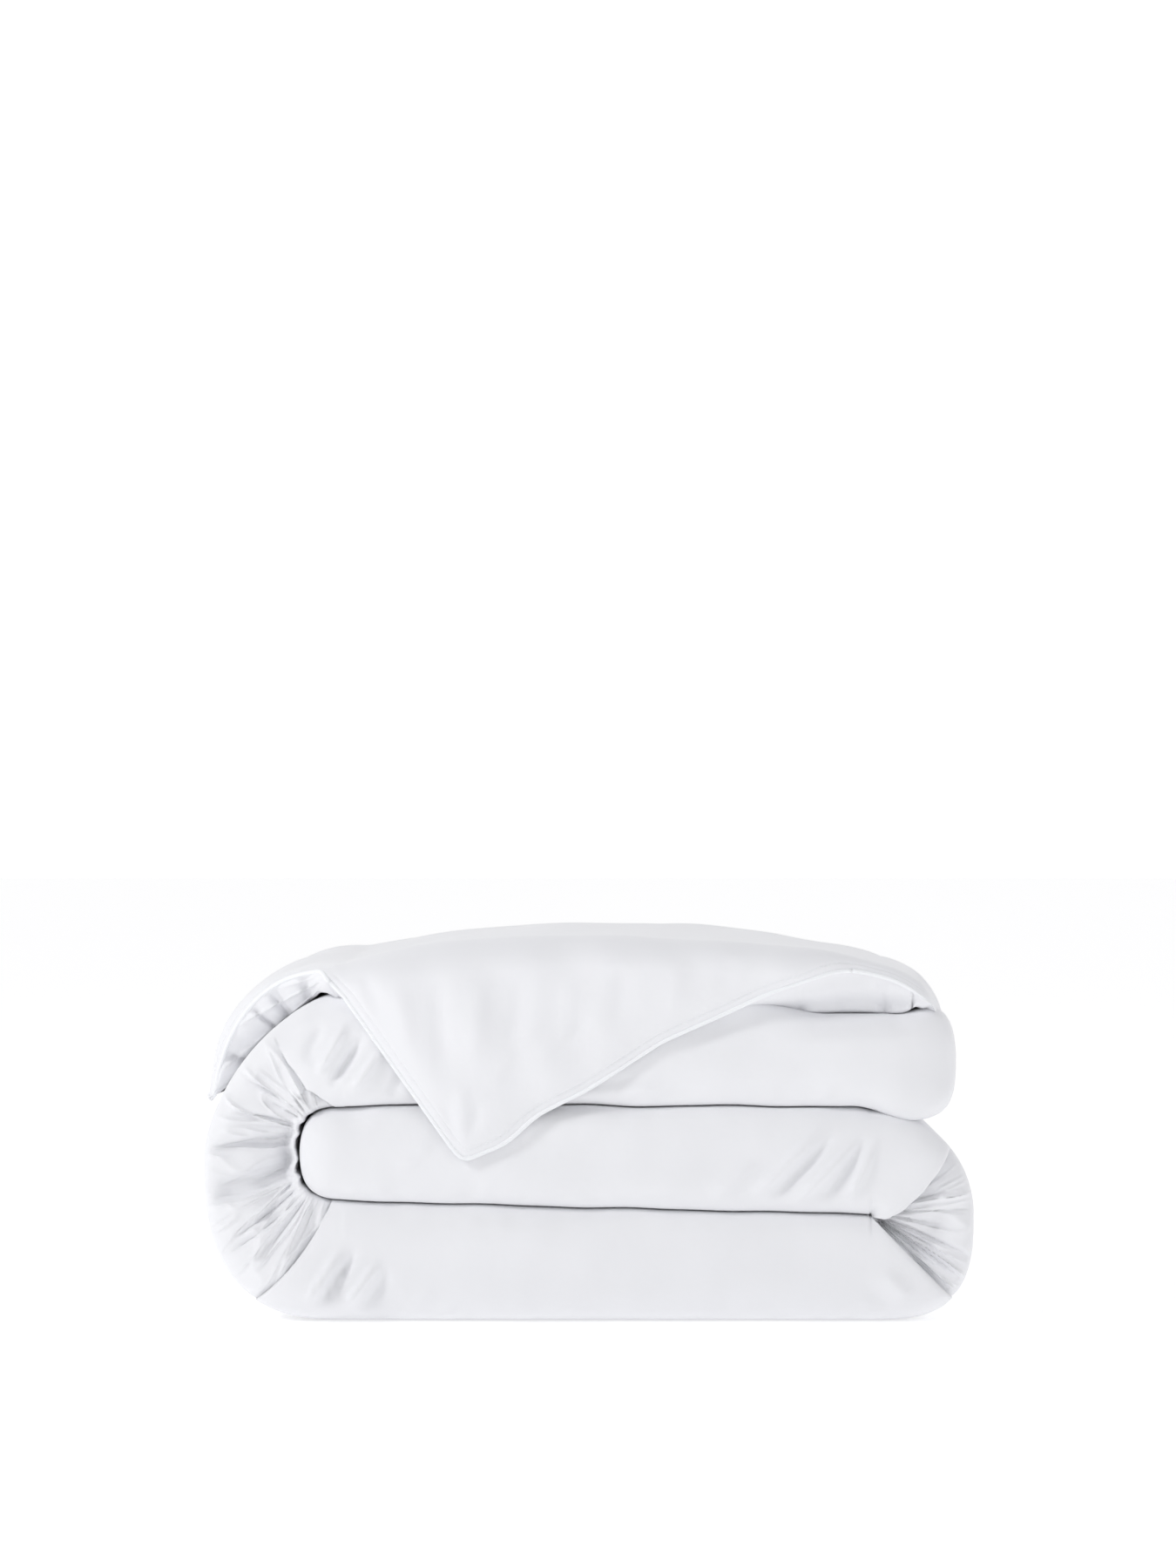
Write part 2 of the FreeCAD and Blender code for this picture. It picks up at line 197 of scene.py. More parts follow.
T_ROWS = 0.5 - 0.5 * np.cos(np.linspace(0, math.pi, 61))


def straight_zone(xs, low, high):
    """Upright sections at the places xs, between the heights low and high."""
    x = np.repeat(xs[:, None], len(T_ROWS), axis=1)
    z = low[:, None] * (1 - T_ROWS) + high[:, None] * T_ROWS
    return x, z


class Zone:
    def __init__(self, x, z, recess=0.0, turn=0.0, angle=None):
        self.x, self.z = x, z
        shape = x.shape
        self.recess = np.broadcast_to(np.asarray(recess, float), shape).copy()
        self.turn = np.broadcast_to(np.asarray(turn, float), shape).copy()
        self.angle = np.zeros(shape) if angle is None else angle


def fan_zone(angles, inner, outer):
    """Sections that fan round a turn. angles is an array [station, row]."""
    ix, iz = inner(angles)
    ox, oz = outer(angles)
    return ix + (ox - ix) * T_ROWS, iz + (oz - iz) * T_ROWS


RIGHT_INNER_RADIUS = 0.0015


def right_inner(angle):
    """Angle 0 is straight up, pi straight down."""
    return (RIGHT_X + RIGHT_INNER_RADIUS * np.sin(angle),
            gap_low(RIGHT_X) + RIGHT_INNER_RADIUS * np.cos(angle))


def right_outer(angle):
    """Angle 0 is straight up, pi straight down."""
    pivot = gap_low(RIGHT_X)
    side, rise = superellipse(math.pi - angle, 3.0, 2.0)
    up = np.where(rise > 0, gap_high(RIGHT_X) - 0.0006 - pivot, pivot)
    return RIGHT_X + RIGHT_REACH * side, pivot + up * rise


SQUARE = 0.72             # the middle layer's end: 1 is round, less is squarer
LEFT_HOLLOW = 0.0022      # gap round the middle layer's end


def left_inner(angle):
    """Angle 0 is straight down, pi straight up."""
    low, high = gap_low(LEFT_X), gap_high(LEFT_X)
    reach = MIDDLE_END + LEFT_HOLLOW
    wobble = 1 + 0.02 * line_waves(angle / 3, 0.8) * np.sin(angle)
    rise = np.sign(np.cos(angle)) * np.abs(np.cos(angle)) ** SQUARE
    return (LEFT_X - reach * np.abs(np.sin(angle)) ** SQUARE * wobble,
            (low + high) / 2 - (high - low) / 2 * rise)


def left_outer(angle):
    """Angle 0 is straight down, pi straight up."""
    side, rise = superellipse(angle, 2.7, 1.62)
    return LEFT_X - LEFT_REACH * side, ROOF / 2 + ROOF / 2 * rise


def mitre(knots):
    """An angle for each row, through given (share of thickness, degrees) knots."""
    share, degrees = zip(*knots)
    return np.radians(np.interp(T_ROWS, share, degrees))


RIGHT_MITRE_HIGH = mitre([(0, 108), (0.1, 98), (0.38, 72), (0.65, 60), (1, 50)])
RIGHT_MITRE_LOW = mitre([(0, 136), (1, 135)])
LEFT_MITRE_LOW = mitre([(0, 9), (1, 33)])
LEFT_MITRE_HIGH = mitre([(0, 174), (0.1, 162), (0.25, 150), (0.6, 145), (1, 144)])
STEP = 0.004              # radians between the two sides of a mitre
CREASE_GAIN = 1.3         # the creases' depths below are all multiplied by this
CREASE_STEEP, CREASE_SLOW = 0.0014, 0.0065    # widths of a crease's two sides


def between(first, last, count):
    """Angles [station, row] that run evenly from one row-wise curve to another."""
    share = np.linspace(0, 1, count)[:, None]
    return first + (last - first) * share


def crease_field(angle, radius, starts):
    """Sharp pleats that run out from the inside of a turn and fade on the way.

    starts is a list of (degrees, share of the width it reaches, depth in mm, lean in degrees).
    """
    depth = np.zeros_like(angle)
    for degrees, reach, mm, lean in starts:
        centre = np.radians(degrees + lean * T_ROWS)[None, :]
        across = (angle - centre) * radius
        if lean < 0:
            across = -across
        shape = np.where(across < 0, np.exp(across / CREASE_STEEP), np.exp(-across / CREASE_SLOW))
        start = ease(T_ROWS / 0.14)
        fade = 1 - ease((T_ROWS - reach + 0.3) / 0.3)
        depth += CREASE_GAIN * mm * MM * shape * (fade * start)[None, :]
    return depth


LEFT_CREASES = [
    (38, 0.62, 6.0, 6), (46, 0.95, 5.0, 12), (54, 0.8, 7.0, 9), (64, 0.55, 5.0, 4),
    (71, 0.98, 7.5, 10), (79, 0.6, 5.5, 3), (87, 0.9, 7.0, -5), (95, 0.66, 6.5, 4),
    (103, 0.98, 7.0, -8), (111, 0.6, 5.5, -3), (118, 0.85, 6.5, -7), (126, 0.62, 5.5, -4),
    (133, 0.9, 6.0, -8), (139, 0.6, 4.0, -3),
]
RIGHT_CREASES = [
    (66, 0.95, 3.0, -6), (74, 0.85, 4.5, -3), (83, 1.0, 3.5, 4), (91, 0.8, 5.0, 3),
    (99, 1.05, 6.0, 6), (107, 0.85, 5.0, 5), (115, 1.0, 6.5, 5), (122, 0.8, 5.0, 3),
    (129, 0.95, 5.0, 2),
]


def mitre_dip(angle, radius, line, side):
    """Cloth drawn in along a mitre. side is +1 where the turn has the larger angles."""
    away = (angle - line[None, :]) * radius * side
    turn = 0.0055 * np.exp(-np.abs(away) / 0.006)
    lip = 0.003 * np.exp(-np.abs(away) / 0.004)
    return np.where(away > 0, turn, lip)


def roll_zones():
    """The roll from the middle layer's rounded end to the upper layer's right end."""
    spacing = 0.0024
    count = int((RIGHT_X - LEFT_X) / spacing)
    zones = []

    swing = np.linspace(math.pi / 2, 0, 34)[:-1]
    xs = LEFT_X - (MIDDLE_END - 0.0003) * np.sin(swing) ** SQUARE
    half = (gap_high(LEFT_X) - gap_low(LEFT_X)) / 2 - 0.0008
    centre = (gap_high(LEFT_X) + gap_low(LEFT_X)) / 2
    shape = np.cos(swing) ** SQUARE
    x, z = straight_zone(xs, centre - half * shape, centre + half * shape)
    zones.append(Zone(x, z, 0.026 * (1 - np.cos(swing) ** 0.8)[:, None]))

    xs = np.linspace(LEFT_X, RIGHT_X, count)
    x, z = straight_zone(xs, gap_low(xs) + 0.0004, gap_high(xs) - 0.0004)
    square = ease((RIGHT_X - xs) / 0.05) * ease((xs - LEFT_X) / 0.03)
    top_edge = EDGE_DEPTH * front_profile(T_ROWS) * (T_ROWS > 0.5)
    zones.append(Zone(x, z, -MIDDLE_SQUARED * square[:, None] * top_edge[None, :]))

    zones += turn_zones(right_inner, right_outer, RIGHT_MITRE_HIGH, RIGHT_MITRE_LOW,
                        (30, 110, 26), RIGHT_CREASES)

    xs = xs[::-1]
    x, z = straight_zone(xs, gap_low(xs) - 0.0004, np.zeros(count))
    zones.append(Zone(x, z))

    zones += turn_zones(left_inner, left_outer, LEFT_MITRE_LOW, LEFT_MITRE_HIGH,
                        (16, 210, 44), LEFT_CREASES, fading=0.58)

    xs = np.linspace(LEFT_X, UPPER_END, int((UPPER_END - LEFT_X) / spacing))
    x, z = straight_zone(xs, gap_high(xs) + 0.0004, np.full(len(xs), ROOF))
    zones.append(Zone(x, z))

    swing = np.linspace(0, math.pi / 2, 30)[1:]
    reach = END_TIP - UPPER_END
    share = np.sin(swing) ** 0.8
    xs = UPPER_END + reach * share
    middle = 0.21
    low = middle - (middle - gap_high(xs)) * (1 - share ** 4) ** 0.25
    high = middle + (ROOF - middle) * (1 - share ** 2.6) ** (1 / 2.6)
    x, z = straight_zone(xs, low, high)
    zones.append(Zone(x, z, 0.03 * (1 - (1 - share ** 2.4) ** (1 / 2.4))[:, None]))
    return zones


def turn_zones(inner, outer, first, last, counts, creases, fading=None):
    """The three parts of a turn: up to one mitre, between the mitres, and on to the end."""
    flat = np.zeros_like(first)
    kept = np.ones_like(T_ROWS) if fading is None else 1 - ease((T_ROWS - fading) / 0.3)
    spans = [
        (flat, first - STEP / 2, counts[0]),
        (first + STEP / 2, last - STEP / 2, counts[1]),
        (last + STEP / 2, np.full_like(first, math.pi), counts[2]),
    ]
    zones = []
    for part, (a, b, count) in enumerate(spans):
        angle = between(a, b, count)
        if part == 0:
            angle = angle[1:]
        if part == 2:
            angle = angle[:-1]
        x, z = fan_zone(angle, inner, outer)
        ix, iz = inner(angle)
        radius = np.hypot(x - np.mean(ix), z - np.mean(iz)) + 0.004
        dip = mitre_dip(angle, radius, first, 1) * (part < 2)
        dip = dip + mitre_dip(angle, radius, last, -1) * (part > 0) * kept[None, :]
        dip *= ease(T_ROWS / 0.12 + 0.2)[None, :]
        recess = dip
        if part == 1:
            to_last = ease((last[None, :] - angle) / 0.45)
            sunk = TURN_RECESS * (kept[None, :] + (1 - kept[None, :]) * to_last)
            recess = dip + sunk + crease_field(angle, radius, creases)
        zones.append(Zone(x, z, recess, float(part == 1), angle))
    return zones


# Soft folds on the front: (x, z) of both ends, width and height, all in millimetres.
FRONT_FOLDS = [
    (128, 98, 184, 156, 4.5, 3.2), (142, 96, 198, 154, 4, -3.0), (162, 94, 212, 146, 4, 3.0),
    (184, 96, 220, 150, 4, -2.6), (202, 96, 226, 146, 4, 2.4), (96, 98, 132, 128, 6, 1.6),
    (-222, 14, -190, 62, 4, 4.4), (-210, 12, -180, 60, 3.5, -4.0), (-192, 10, -162, 52, 4, 3.6),
    (-178, 8, -154, 44, 5, -2.0),
    (-140, 6, -120, 30, 6, 1.0), (252, 18, 226, 44, 7, 1.6), (236, 12, 214, 30, 6, -1.2),
    (-212, 196, -188, 236, 3.5, 4.4), (-202, 186, -174, 228, 3.5, -4.0),
    (-186, 180, -160, 216, 3.5, 3.4),
    (-158, 176, -140, 200, 5, -1.4), (-222, 204, -206, 236, 5, -1.8),
    (-150, 120, -118, 146, 7, 1.2),
    (20, 176, 60, 186, 7, 1.6), (44, 172, 96, 184, 6, -1.4), (-20, 182, 40, 192, 6, -1.2),
]


def fold_field(x, z, folds):
    """Height of the soft folds at x, z."""
    height = np.zeros_like(x)
    for x0, z0, x1, z1, width, rise in folds:
        ax, az = x0 * MM, z0 * MM
        dx, dz = x1 * MM - ax, z1 * MM - az
        length = math.hypot(dx, dz)
        along = ((x - ax) * dx + (z - az) * dz) / length ** 2
        across = ((x - ax) * dz - (z - az) * dx) / length
        taper = ease(along / 0.35 + 0.15) * ease((1 - along) / 0.5 + 0.1)
        height += rise * MM * taper * np.exp(-(across / (width * MM)) ** 2)
    return height


def stack(zones, key):
    return np.concatenate([getattr(zone, key) for zone in zones])


def make_insert_roll(inset=0.006):
    """The filled inner bag: the roll's sections drawn in, without the cover's creases."""
    zones = roll_zones()
    x, z, turn = stack(zones, "x"), stack(zones, "z"), stack(zones, "turn")
    first = int(np.argmax(x[:, 0] > LEFT_X - 0.020))
    x, z, turn = x[first:-12], z[first:-12], turn[first:-12]
    middle_x, middle_z = (x[:, :1] + x[:, -1:]) / 2, (z[:, :1] + z[:, -1:]) / 2
    width = np.hypot(x[:, -1:] - x[:, :1], z[:, -1:] - z[:, :1])
    kept = 1 - 2 * inset / width
    x, z = middle_x + (x - middle_x) * kept, middle_z + (z - middle_z) * kept
    profile = front_profile(T_ROWS)[None, :]
    deep = EDGE_DEPTH * profile + inset + 0.014 + 0.024 * turn
    return shoulder_dip(ring_rows(x, z, FRONT + deep, BACK - deep))


def ring_rows(x, z, front_y, back_y):
    """Closed rings: the front, the outer side, the back and the inner side."""
    share = np.linspace(0, 1, 30)[1:-1]
    return np.concatenate([
        np.stack([x, front_y, z], -1),
        side_rows(x[:, -1], z[:, -1], front_y[:, -1], back_y[:, -1], share),
        np.stack([x, back_y, z], -1)[:, ::-1],
        side_rows(x[:, 0], z[:, 0], back_y[:, 0], front_y[:, 0], share),
    ], axis=1)


def make_roll():
    """The cover's roll: its front and back with creases, folds and plump turns."""
    zones = roll_zones()
    x, z = stack(zones, "x"), stack(zones, "z")
    recess, turn = stack(zones, "recess"), stack(zones, "turn")
    profile = front_profile(T_ROWS)[None, :]
    inside = (1 - np.abs(2 * T_ROWS - 1) ** 4)[None, :]

    angle = stack(zones, "angle")
    radial = crinkle(angle * 0.10, np.broadcast_to(T_ROWS * 0.08, x.shape))
    bulge = 0.0014 * front_waves(x, z) * inside * (1 + turn)
    fine = crinkle(angle * 0.21 + 3.0, np.broadcast_to(T_ROWS * 0.16, x.shape))
    bulge = bulge + (0.0052 * radial + 0.0022 * fine - 0.0012) * inside * turn
    near_gap = np.exp(-np.minimum(T_ROWS, 1 - T_ROWS) / 0.10)[None, :] * (1 - turn)
    bulge = bulge + 0.0013 * gather_waves(x, 0.3 * z) * near_gap * inside
    bulge = bulge + 1.8 * fold_field(x, z, FRONT_FOLDS) * inside
    front_y = FRONT + EDGE_DEPTH * profile + recess - bulge
    back_bulge = 0.0018 * back_waves(x, z) * inside
    aside, above = (x - label_middle.x) / 0.03, (z - label_middle.z) / 0.035
    at_label = np.exp(-(aside ** 2 + above ** 2) ** 2)
    back_bulge = back_bulge * (1 - at_label) - 0.0012 * at_label
    back_y = BACK - EDGE_DEPTH * profile - recess + back_bulge

    return shoulder_dip(ring_rows(x, z, front_y, back_y))


def side_rows(x, z, y0, y1, share):
    """Rows of points at x, z that run from y0 to y1."""
    y = y0[:, None] + (y1 - y0)[:, None] * share
    return np.stack(np.broadcast_arrays(x[:, None], y, z[:, None]), -1)


def shoulder_dip(points):
    """The upper layer's shoulder sinks at the right, in front, under the open edge."""
    x, y, z = points[..., 0], points[..., 1], points[..., 2]
    front = ease((FRONT + 0.11 - y) / 0.08)
    high = ease((z - GAP_HIGH - 0.02) / (ROOF - GAP_HIGH - 0.02))
    points[..., 2] = z - shoulder_sink(x) * front * high
    return points


def shoulder_sink(x):
    """How far the upper layer's front shoulder sinks, under the open edge."""
    return 0.017 * ease((x - 0.10) / 0.09) * ease((0.285 - x) / 0.045)


# ---------------------------------------------------------------- the top layer
# The top layer on the front, as (x, height): its edge, its crest, and the end fold's outline.
RIM = [(-0.203, 0.273), (-0.099, 0.127), (-0.064, 0.142), (-0.040, 0.164), (0.000, 0.184),
       (0.057, 0.221), (0.100, 0.240), (0.139, 0.258), (0.180, 0.272), (0.220, 0.282)]
CREST = [(-0.191, 0.2825), (-0.160, 0.2897), (-0.120, 0.2962), (-0.080, 0.3005), (0.000, 0.3045),
         (0.057, 0.303),
         (0.100, 0.3005), (0.139, 0.297), (0.180, 0.2915), (0.210, 0.2862)]
END_LINE = [(0.2815, 0.222), (0.2795, 0.243), (0.266, 0.263), (0.243, 0.2775), (0.222, 0.2835),
            (0.210, 0.2862)]
END_RIM = 0.0150          # the same depth along the end fold
SPLIT_X = 0.205           # the top layer ends here and the end fold goes on
OBLIQUE = 1.34            # how fast the overhang's front edge runs back as it goes left
SHOULDER_REACH, SHOULDER_RISE = 0.1265, 0.161
SHOULDER_SQUARE = 0.88    # below 1, the shoulder is fuller than an ellipse
HEM_DROP = 0.006          # the fabric's hem hangs this far below the CAD model's
FOLD_LENGTH = FOLD_RADIUS * math.pi / 2


def smooth_line(knots, x):
    """A soft curve through given points (a cubic through each, level-limited)."""
    xs, ys = np.array(knots).T
    slope = np.gradient(ys, xs)
    i = np.clip(np.searchsorted(xs, x) - 1, 0, len(xs) - 2)
    step = xs[i + 1] - xs[i]
    t = np.clip((x - xs[i]) / step, 0, 1)
    return ((1 + 2 * t) * (1 - t) ** 2 * ys[i] + t * (1 - t) ** 2 * step * slope[i]
            + t * t * (3 - 2 * t) * ys[i + 1] + t * t * (t - 1) * step * slope[i + 1])


def smooth_path(points, rounds=3):
    """The path with its corners rounded; its ends stay where they are."""
    points = np.asarray(points, float).copy()
    for _ in range(rounds):
        points[1:-1] = (points[:-2] + 2 * points[1:-1] + points[2:]) / 4
    return points


def curve_through(knots, count):
    """Even points along a smooth curve through given (x, z) knots."""
    knots = np.array(knots)
    chord = run_length(knots)
    t = np.linspace(0, chord[-1], count)
    pairs = [list(zip(chord, knots[:, i])) for i in range(2)]
    return smooth_line(pairs[0], t), smooth_line(pairs[1], t)


def top_stations():
    """Outline of the top layer's upper face, from the end fold to the hem, and its normals."""
    ex, ez = curve_through(END_LINE, 42)
    flat = np.arange(END_LINE[-1][0] - 0.0025, LEFT_X, -0.0025)
    z = smooth_line(CREST, flat)
    centre_z = smooth_line(CREST, np.array([LEFT_X]))[0] - SHOULDER_RISE
    low = math.asin(((HEM_Z - HEM_DROP - centre_z) / SHOULDER_RISE) ** (1 / SHOULDER_SQUARE))
    angle = np.linspace(math.pi / 2, math.pi - low, 66)
    side = np.abs(np.cos(angle)) ** SHOULDER_SQUARE
    x = np.concatenate([ex, flat, LEFT_X - SHOULDER_REACH * side])
    z = np.concatenate([ez, z, centre_z + SHOULDER_RISE * np.sin(angle) ** SHOULDER_SQUARE])
    tx, tz = np.gradient(x), np.gradient(z)
    for _ in range(6):
        tx, tz = smooth_path(tx), smooth_path(tz)
    size = np.hypot(tx, tz)
    return x, z, tz / size, -tx / size


def rim_depth(x, top):
    """How far along the section, past the start of the fold, the edge lies."""
    z = np.interp(x, *zip(*RIM))
    drop = top - z
    on_fold = np.clip(drop / FOLD_RADIUS, 0, 1)
    depth = FOLD_RADIUS * np.arccos(1 - on_fold) + np.maximum(drop - FOLD_RADIUS, 0)
    depth = depth + (END_RIM - depth) * ease((x - 0.165) / 0.065)
    depth = depth - 0.032 * ease((0.268 - top) / 0.036) * (x > 0)
    depth = np.where(x < -0.16, depth, smooth_path(depth, 7))
    corner = RIM[0][0]
    at_corner = np.interp(corner, x[::-1], depth[::-1])
    behind = at_corner - 0.016 * ease((corner - x) / 0.012) + OBLIQUE * (x - corner)
    return np.where(x < corner, behind, depth)


def section(depth):
    """Place on the section's outer line: y, drop below the top and outward direction."""
    turn = np.clip(depth / FOLD_RADIUS, 0, math.pi / 2)
    y = FOLD_START - FOLD_RADIUS * np.sin(turn) - np.minimum(depth, 0)
    drop = FOLD_RADIUS * (1 - np.cos(turn)) + np.maximum(depth - FOLD_LENGTH, 0)
    return y, drop, -np.sin(turn), np.cos(turn)


def edge_distance(s, depth, rim_s, rim_depths):
    """Shortest distance on the cloth from each point to the piped edge."""
    points = np.stack([s, depth], -1).reshape(-1, 1, 2)
    line = np.stack([rim_s, rim_depths], -1)[::2]
    a, b = line[:-1], line[1:]
    ab = b - a
    best = np.full(len(points), 9.0)
    for first in range(0, len(points), 4096):
        p = points[first:first + 4096]
        t = np.clip(((p - a) * ab).sum(-1) / (ab ** 2).sum(-1), 0, 1)
        gap = np.linalg.norm(p - (a + t[..., None] * ab), axis=-1)
        best[first:first + 4096] = gap.min(axis=1)
    return best.reshape(s.shape)


# Soft folds on the flap and the top layer's front: as FRONT_FOLDS.
FLAP_FOLDS = [
    (-150, 268, -138, 200, 9, 2.2), (-118, 272, -112, 186, 8, -2.0), (-84, 276, -92, 196, 9, 1.8),
    (-52, 276, -60, 190, 10, -2.0), (-14, 276, -20, 206, 9, 1.6), (30, 280, 20, 226, 9, -1.6),
    (-99, 190, -100, 134, 6, 2.0), (-112, 176, -104, 140, 5, -1.6), (-84, 176, -94, 140, 5, -1.4),
    (-176, 276, -160, 236, 6, -1.6), (72, 284, 62, 240, 9, 1.4), (112, 288, 104, 256, 8, -1.2),
    (-40, 240, -80, 186, 7, 1.2), (0, 240, -34, 200, 6, -1.0),
]
FRONT_ROWS, TOP_ROWS = 96, 92


def top_layer_points(inset=0.0, trim=0.0):
    """A closed section per station; returns the points and the edge's line."""
    x, z, nx, nz = top_stations()
    arc = np.concatenate([[0], np.cumsum(np.hypot(np.diff(x), np.diff(z)))])
    rim = rim_depth(x, z) - trim
    lean = ease((x - 0.175) / 0.04)
    drop_x, drop_z = nx * lean, 1 + (nz - 1) * lean
    back = -(BACK - 0.003 - FOLD_START)
    turn_back = np.minimum(rim - 0.004, -0.022)
    share = np.linspace(0, 1, TOP_ROWS)
    share = share ** 0.9
    on_top = back + (turn_back[:, None] - back) * share[None, :]
    ahead = np.linspace(0, 1, FRONT_ROWS)[1:]
    ahead = 1 - (1 - ahead) ** 1.25
    on_front = turn_back[:, None] + (rim - turn_back)[:, None] * ahead[None, :]
    depth = np.concatenate([on_top, on_front], axis=1)

    s = np.repeat(arc[:, None], depth.shape[1], 1)
    away = edge_distance(s, depth, arc, rim)
    y, drop, ny, nd = section(depth)
    across = x[:, None] - drop * drop_x[:, None]
    height = z[:, None] - drop * drop_z[:, None]

    # fullness: thin at the piped edges, full inside
    full = 1 - np.exp(-away / 0.010)
    on_face = ease(depth / FOLD_LENGTH)
    thinned = FLAP_THICKNESS - FLAP_EDGE_THICKNESS - 1.4 * inset
    swell = -thinned * (1 - full) * on_face
    swell += -0.007 * (1 - full) * (1 - on_face)
    seam = -0.0006 * np.exp(-((away - STITCH_INSET) / 0.0012) ** 2)
    waves = 0.0016 * top_waves(s, depth) * full * (1 - 0.35 * on_face)
    waves += 0.0013 * under_waves(s * 0.7, depth * 0.55) * full * on_face
    folds = 1.15 * fold_field(across, height, FLAP_FOLDS) * ease((depth + 0.02) / 0.04) * full
    to_back = np.clip((depth - back) / 0.030, 0, 1)
    round_back = -0.015 * (1 - np.sqrt(1 - (1 - to_back) ** 2))
    fall = 0.011 + 0.005 * ease((z - 0.280) / 0.02)
    dome = -fall[:, None] * ease((y + 0.06) / (BACK + 0.06))
    push = swell + seam + waves + folds + round_back + dome - inset
    outer = np.stack([across + push * nd * nx[:, None], y + push * ny,
                      height + push * nd * nz[:, None]], -1)

    under = under_points(x, z, nx, nz, outer[:, -1], outer[:, 0], 0.9 * inset, trim)
    return np.concatenate([outer, under], axis=1), outer, away


def roll_outline():
    """The left turn's outer line, as points from its lowest to its highest."""
    x, z = left_outer(np.linspace(0, math.pi, 200))
    return np.stack([x, z], -1)


def under_points(x, z, nx, nz, edge, back_edge, inset, trim):
    """The lower face, from the edge back along the roll."""
    rows = np.linspace(0, 1, 40)[1:]
    rim_z = edge[:, 2]
    shoulder = ease((LEFT_X - 0.012 - x) / 0.02)
    end = ease((x - 0.244) / 0.038)
    high = ease((rim_z - trim - 0.222) / 0.035) * (1 - ease((LEFT_X - 0.004 - x) / 0.01))
    floor_z = ROOF + 0.0007 + inset

    # on the front: up behind the flap, over the roll's edge
    face_y = FRONT - FLAP_CLEARANCE - inset
    p0 = edge
    p1 = column(x, face_y, np.maximum(0.5 * (rim_z + floor_z - 0.016), rim_z))
    p2 = column(x, face_y + 0.001, floor_z - 0.006)
    p3 = column(x, FRONT + 0.03, floor_z)
    # under the high edge: down and back into the hollow
    low = ROOF - shoulder_sink(x)
    q1 = column(x, edge[:, 1] + 0.013 + inset, (rim_z + low) / 2 - 0.002 + inset)
    q2 = column(x, FRONT + 0.032 + 2 * inset, low - 0.022 + 2 * inset)
    q3 = column(x, FRONT + 0.062, floor_z - 0.001)
    arc = np.concatenate([[0], np.cumsum(np.hypot(np.diff(x), np.diff(z)))])
    gather = crinkle(arc, arc * 0) - 0.3
    q1[:, 1] += 0.008 * gather
    q1[:, 2] -= 0.004 * gather
    q2[:, 1] += 0.010 * gather
    h = high[:, None]
    front = bezier_rows([p0, p1 + (q1 - p1) * h, p2 + (q2 - p2) * h, p3 + (q3 - p3) * h], rows)
    ripple = np.sin(rows * 5 * math.pi + 9 * x[:, None]) * np.sin(rows * math.pi) ** 2
    front[..., 1] += 0.0032 * ripple * h

    # on the shoulder and the end fold: in from the edge, towards the roll
    roll = roll_outline()
    reach = np.linalg.norm(np.stack([x, z], -1)[:, None] - roll[None], axis=-1).min(axis=1)
    crescent = 0.003 * np.exp(-((x + 0.212) / 0.016) ** 2)
    thick = np.clip(reach + 0.0004 - crescent, 0.010, 0.034)
    at_end = np.maximum(0.008 + 0.25 * (z - 0.222), z - ROOF + shoulder_sink(x))
    thick = thick * (1 - end) + end * at_end
    thick = smooth_path(thick, 4) - 1.5 * inset
    to_hem = np.clip((arc[-1] - arc) / 0.03, 0, 1) ** 0.5
    thick = 0.003 + (thick - 0.003) * to_hem
    base = column(x - nx * thick, edge[:, 1] + 0.030, z - nz * thick)
    puff = 0.016 * gather * to_hem
    near = column(x - nx * thick * 0.5, edge[:, 1] - 0.003 + puff, z - nz * thick * 0.5)
    full = column(x - nx * thick * 1.02, edge[:, 1] + 0.006 + puff, z - nz * thick * 1.02)
    curl = bezier_rows([p0, near, full, base], rows)
    fan = np.arctan2(curl[..., 2] - RIM[0][1] - 0.004, -curl[..., 0] + RIM[0][0] + 0.012)
    curl[..., 1] -= 0.006 * (crinkle(fan * 0.16, 0 * fan) - 0.2) * (np.sin(rows * math.pi))[None, :]
    mix = np.maximum(shoulder, end)[:, None, None]
    front = front * (1 - mix) + curl * mix

    start = front[:, -1]
    finish = back_edge.copy()
    finish[:, 1] -= 0.001
    share = np.linspace(0, 1, 44)[1:]
    flat = start[:, None, :] + (finish - start)[:, None, :] * share[None, :, None]
    keep = (1 - ease((share - 0.9) / 0.1))[None, :, None]
    flat[..., [0, 2]] = start[:, None, [0, 2]] * keep + flat[..., [0, 2]] * (1 - keep)
    return np.concatenate([front, flat], axis=1)


def column(x, y, z):
    """Points from x, y and z, where a single number stands for every station."""
    return np.stack(np.broadcast_arrays(x, y, z), -1).astype(float)


def bezier_rows(ctrl, t):
    """Points at t on each station's Bezier curve through four control points."""
    t = t[None, :, None]
    a, b, c, d = [p[:, None, :] for p in ctrl]
    return a * (1 - t) ** 3 + 3 * b * t * (1 - t) ** 2 + 3 * c * t * t * (1 - t) + d * t ** 3


# ---------------------------------------------------------------- piping and stitches
def frames_along(points):
    """Two directions across a path at each of its points, carried along without twist."""
    ahead = np.gradient(points, axis=0)
    ahead /= np.linalg.norm(ahead, axis=1, keepdims=True)
    across = np.cross(ahead[0], [0.3, 0.9, 0.2])
    sides, ups = [], []
    for direction in ahead:
        across = across - direction * np.dot(across, direction)
        across /= np.linalg.norm(across)
        sides.append(across.copy())
        ups.append(np.cross(direction, across))
    return np.array(sides), np.array(ups)


